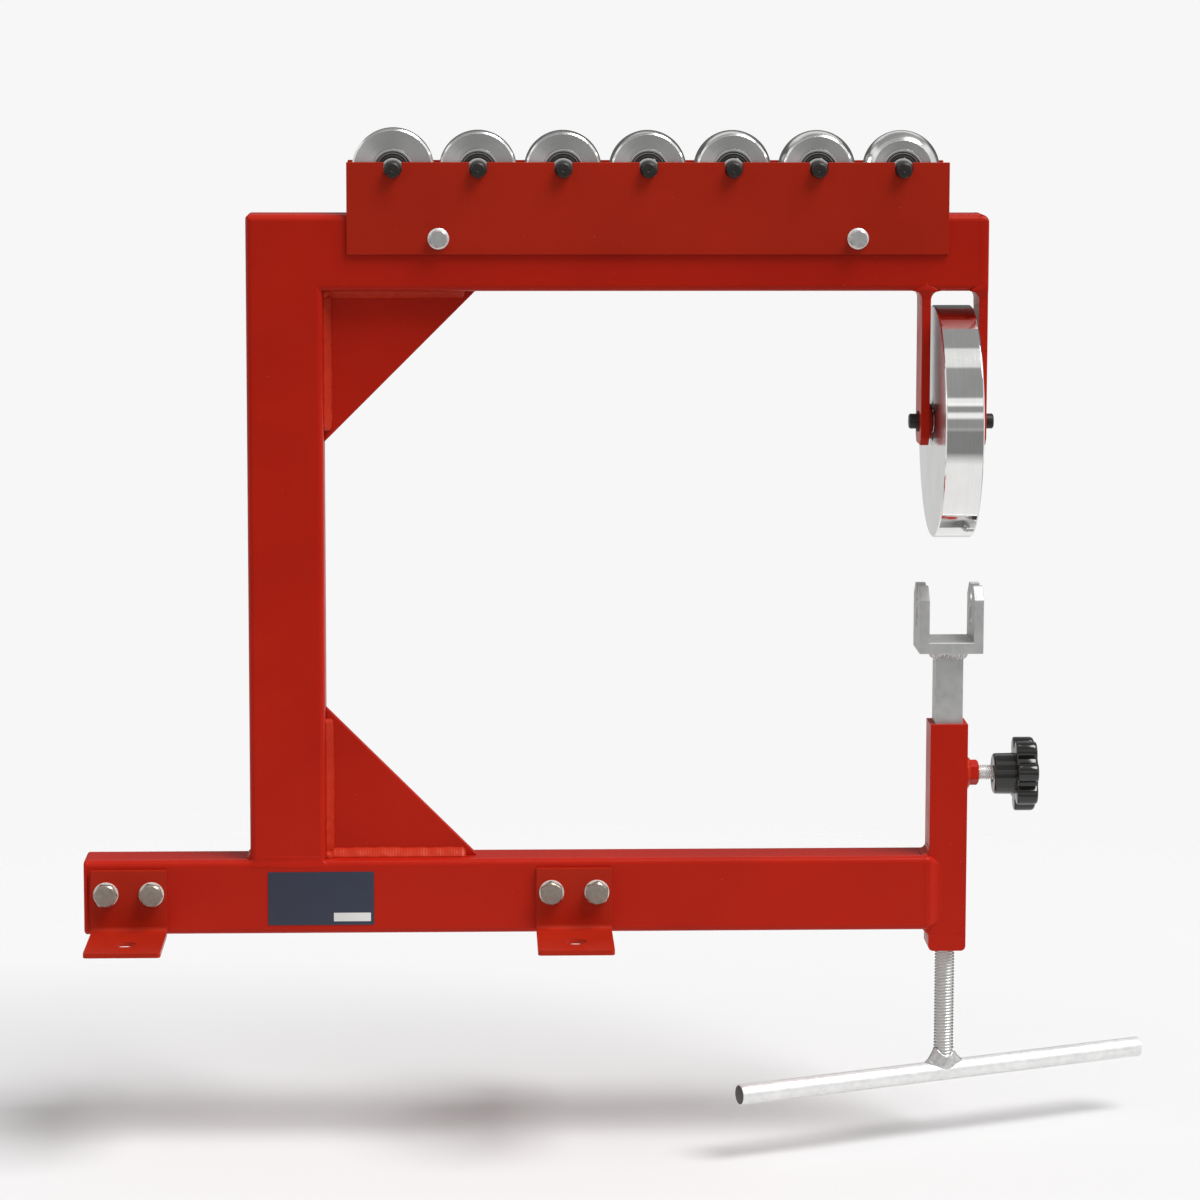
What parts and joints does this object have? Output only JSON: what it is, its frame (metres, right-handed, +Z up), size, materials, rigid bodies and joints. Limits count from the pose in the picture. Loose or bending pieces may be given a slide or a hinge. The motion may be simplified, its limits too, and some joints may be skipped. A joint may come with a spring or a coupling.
{
  "type": "english wheel",
  "caption": "Bench-edge english wheel: welded C-frame, polished upper wheel in a fork, screw-lifted anvil yoke with lock knob, and a rack of crowned anvil wheels.",
  "frame": {"origin": "on the bench surface, at the centre of the four foot holes", "axes": "+X along the lower beam towards the wheels, +Y from the front to the back, +Z up"},
  "size_m": [0.8607, 0.192, 0.767],
  "materials": {
    "red_powder_coat": "semi-gloss powder coat",
    "polished_steel": "mirror polished",
    "anvil_steel": "turned and ground",
    "zinc_coat": "zinc coated, matt",
    "zinc_plate": "bright zinc plated",
    "stainless_steel": "plain",
    "black_oxide": "black oxide",
    "bearing_steel": "ground",
    "bearing_seal": "steel rings with black rubber seals",
    "black_plastic": "glossy",
    "blank_plate": "satin print"
  },
  "bodies": {
    "frame": {"post": "red_powder_coat", "upper_arm": "red_powder_coat", "lower_beam": "red_powder_coat", "beam_end_cap": "red_powder_coat", "upper_gusset": "red_powder_coat", "lower_gusset": "red_powder_coat", "fork_ear_inner": "red_powder_coat", "fork_ear_outer": "red_powder_coat", "fork_bosses": "red_powder_coat", "frame_welds": "red_powder_coat", "stem_socket": "red_powder_coat", "screw_nut": "red_powder_coat", "lock_nut": "red_powder_coat", "foot_front_left": "red_powder_coat", "foot_front_right": "red_powder_coat", "foot_back_left": "red_powder_coat", "foot_back_right": "red_powder_coat", "foot_bolts": "stainless_steel", "foot_washers": "stainless_steel", "foot_nuts": "stainless_steel", "rack_plate_front": "red_powder_coat", "rack_plate_back": "red_powder_coat", "rack_bolts": "zinc_plate", "rack_nuts": "zinc_plate", "data_plate": "blank_plate", "wheel_bearing_cores": "bearing_steel", "upper_axle": "black_oxide", "axle_circlips": "black_oxide"},
    "upper_wheel": {"upper_wheel": "polished_steel", "wheel_bearing_shells": "bearing_seal"},
    "yoke": {"yoke": "zinc_coat", "stem": "zinc_coat", "yoke_weld": "zinc_coat"},
    "lift_screw": {"lift_screw": "zinc_coat", "tee_bar": "zinc_coat", "tee_weld": "zinc_coat"},
    "lock_stud": {"lock_stud": "zinc_plate"},
    "lock_knob": {"lock_knob": "black_plastic"},
    "anvil_1_pin": {"anvil_1_pin": "black_oxide"},
    "anvil_1": {"anvil_1": "anvil_steel", "anvil_1_bearings": "bearing_seal"},
    "anvil_2_pin": {"anvil_2_pin": "black_oxide"},
    "anvil_2": {"anvil_2": "anvil_steel", "anvil_2_bearings": "bearing_seal"},
    "anvil_3_pin": {"anvil_3_pin": "black_oxide"},
    "anvil_3": {"anvil_3": "anvil_steel", "anvil_3_bearings": "bearing_seal"},
    "anvil_4_pin": {"anvil_4_pin": "black_oxide"},
    "anvil_4": {"anvil_4": "anvil_steel", "anvil_4_bearings": "bearing_seal"},
    "anvil_5_pin": {"anvil_5_pin": "black_oxide"},
    "anvil_5": {"anvil_5": "anvil_steel", "anvil_5_bearings": "bearing_seal"},
    "anvil_6_pin": {"anvil_6_pin": "black_oxide"},
    "anvil_6": {"anvil_6": "anvil_steel", "anvil_6_bearings": "bearing_seal"},
    "anvil_7_pin": {"anvil_7_pin": "black_oxide"},
    "anvil_7": {"anvil_7": "anvil_steel", "anvil_7_bearings": "bearing_seal"}
  },
  "joints": [
    {"name": "upper_wheel_spin", "type": "hinge", "parent": "frame", "child": "upper_wheel", "pos_m": [0.4755, 0, 0.4075], "axis": [1, 0, 0], "continuous": true},
    {"name": "yoke_lift", "type": "slide", "parent": "frame", "child": "yoke", "axis": [0, 0, 1], "range_m": [-0.045, 0.035]},
    {"name": "screw_turn", "type": "hinge", "parent": "yoke", "child": "lift_screw", "pos_m": [0.4755, 0, 0], "axis": [0, 0, 1], "range_deg": [-6480, 5040]},
    {"name": "lock_stud_travel", "type": "slide", "parent": "frame", "child": "lock_stud", "axis": [1, 0, 0], "range_m": [0, 0.00525]},
    {"name": "lock_knob_turn", "type": "hinge", "parent": "lock_stud", "child": "lock_knob", "pos_m": [0.4755, 0, 0.1245], "axis": [1, 0, 0], "range_deg": [0, 1080]},
    {"name": "anvil_1_lift", "type": "slide", "parent": "frame", "child": "anvil_1_pin", "axis": [0, 0, 1], "range_m": [0, 0.06]},
    {"name": "anvil_1_spin", "type": "hinge", "parent": "anvil_1_pin", "child": "anvil_1", "pos_m": [0.0345, 0, 0.607], "axis": [0, 1, 0], "continuous": true},
    {"name": "anvil_2_lift", "type": "slide", "parent": "frame", "child": "anvil_2_pin", "axis": [0, 0, 1], "range_m": [0, 0.06]},
    {"name": "anvil_2_spin", "type": "hinge", "parent": "anvil_2_pin", "child": "anvil_2", "pos_m": [0.101, 0, 0.607], "axis": [0, 1, 0], "continuous": true},
    {"name": "anvil_3_lift", "type": "slide", "parent": "frame", "child": "anvil_3_pin", "axis": [0, 0, 1], "range_m": [0, 0.06]},
    {"name": "anvil_3_spin", "type": "hinge", "parent": "anvil_3_pin", "child": "anvil_3", "pos_m": [0.1675, 0, 0.607], "axis": [0, 1, 0], "continuous": true},
    {"name": "anvil_4_lift", "type": "slide", "parent": "frame", "child": "anvil_4_pin", "axis": [0, 0, 1], "range_m": [0, 0.06]},
    {"name": "anvil_4_spin", "type": "hinge", "parent": "anvil_4_pin", "child": "anvil_4", "pos_m": [0.234, 0, 0.607], "axis": [0, 1, 0], "continuous": true},
    {"name": "anvil_5_lift", "type": "slide", "parent": "frame", "child": "anvil_5_pin", "axis": [0, 0, 1], "range_m": [0, 0.06]},
    {"name": "anvil_5_spin", "type": "hinge", "parent": "anvil_5_pin", "child": "anvil_5", "pos_m": [0.3005, 0, 0.607], "axis": [0, 1, 0], "continuous": true},
    {"name": "anvil_6_lift", "type": "slide", "parent": "frame", "child": "anvil_6_pin", "axis": [0, 0, 1], "range_m": [0, 0.06]},
    {"name": "anvil_6_spin", "type": "hinge", "parent": "anvil_6_pin", "child": "anvil_6", "pos_m": [0.367, 0, 0.607], "axis": [0, 1, 0], "continuous": true},
    {"name": "anvil_7_lift", "type": "slide", "parent": "frame", "child": "anvil_7_pin", "axis": [0, 0, 1], "range_m": [0, 0.06]},
    {"name": "anvil_7_spin", "type": "hinge", "parent": "anvil_7_pin", "child": "anvil_7", "pos_m": [0.4335, 0, 0.607], "axis": [0, 1, 0], "continuous": true}
  ],
  "couplings": [
    {"joint": "yoke_lift", "follows": "screw_turn", "m_per_rad": 0.00039789},
    {"joint": "lock_knob_turn", "follows": "lock_stud_travel", "rad_per_m": 3590.4}
  ]
}
